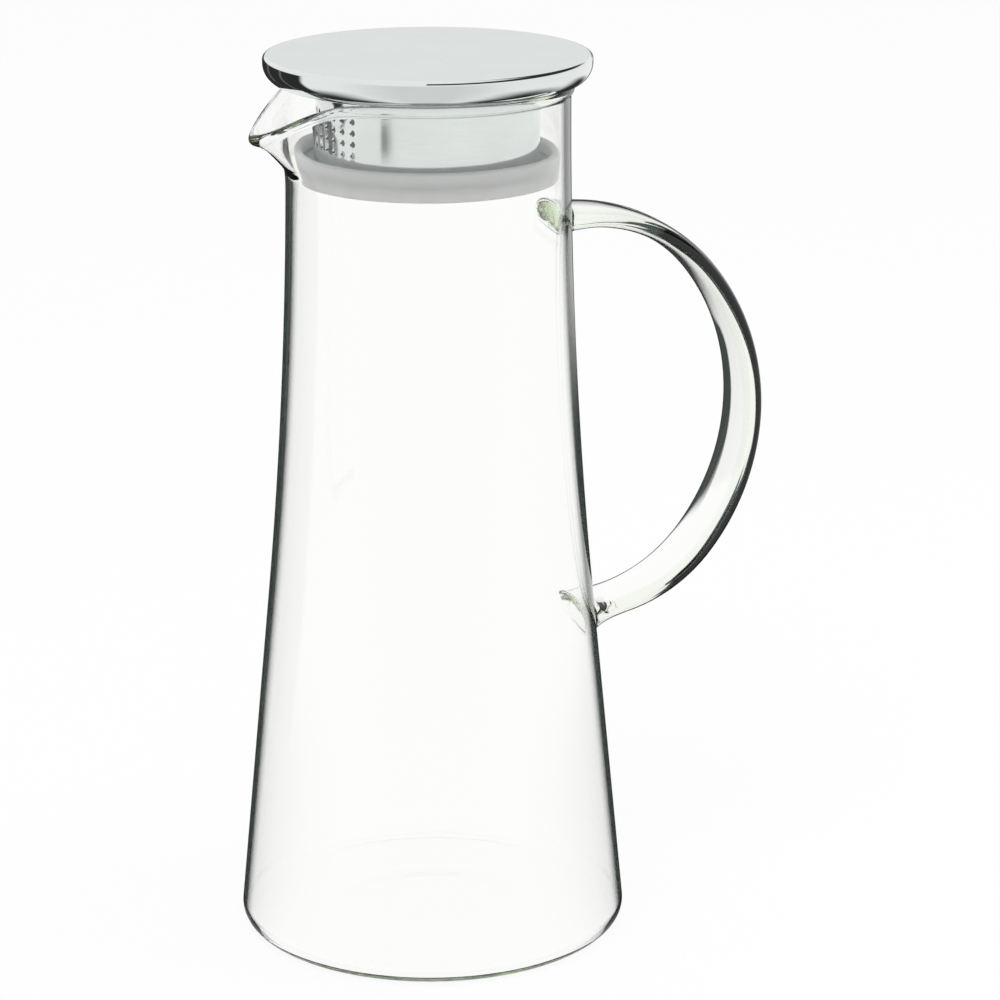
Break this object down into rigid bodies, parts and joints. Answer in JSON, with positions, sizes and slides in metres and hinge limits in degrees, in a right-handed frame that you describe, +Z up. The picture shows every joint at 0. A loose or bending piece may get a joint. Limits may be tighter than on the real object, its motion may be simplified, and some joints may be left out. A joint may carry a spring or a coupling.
{
  "type": "glass pitcher with lid",
  "caption": "Tapered glass pitcher with a pulled spout and a fused strap handle, closed by a flat hollow steel lid whose strainer sleeve and soft seal sit in the neck.",
  "frame": {"origin": "on the body's axis, in the plane of the table that the base stands on", "axes": "+Z up along the body's axis, spout towards -X, handle towards +X"},
  "size_m": [0.1624, 0.1166, 0.2653],
  "materials": {
    "clear_glass": "clear blown glass, smooth, faintly green where it is thick",
    "polished_steel": "polished stainless steel sheet",
    "satin_steel": "satin stainless steel sheet with fine scratches",
    "silicone": "smooth translucent grey-white silicone"
  },
  "bodies": {
    "pitcher": {"glass_body": "clear_glass", "glass_handle": "clear_glass"},
    "seal": {"seal_ring": "silicone"},
    "lid": {"lid_cap": "polished_steel", "lid_underplate": "satin_steel", "strainer_sleeve": "satin_steel"}
  },
  "joints": [
    {"name": "lid_lift", "type": "slide", "parent": "pitcher", "child": "seal", "axis": [0, 0, 1], "range_m": [0, 0.06]},
    {"name": "lid_turn", "type": "hinge", "parent": "seal", "child": "lid", "pos_m": [0, 0, 0.2572], "axis": [0, 0, 1], "continuous": true}
  ]
}
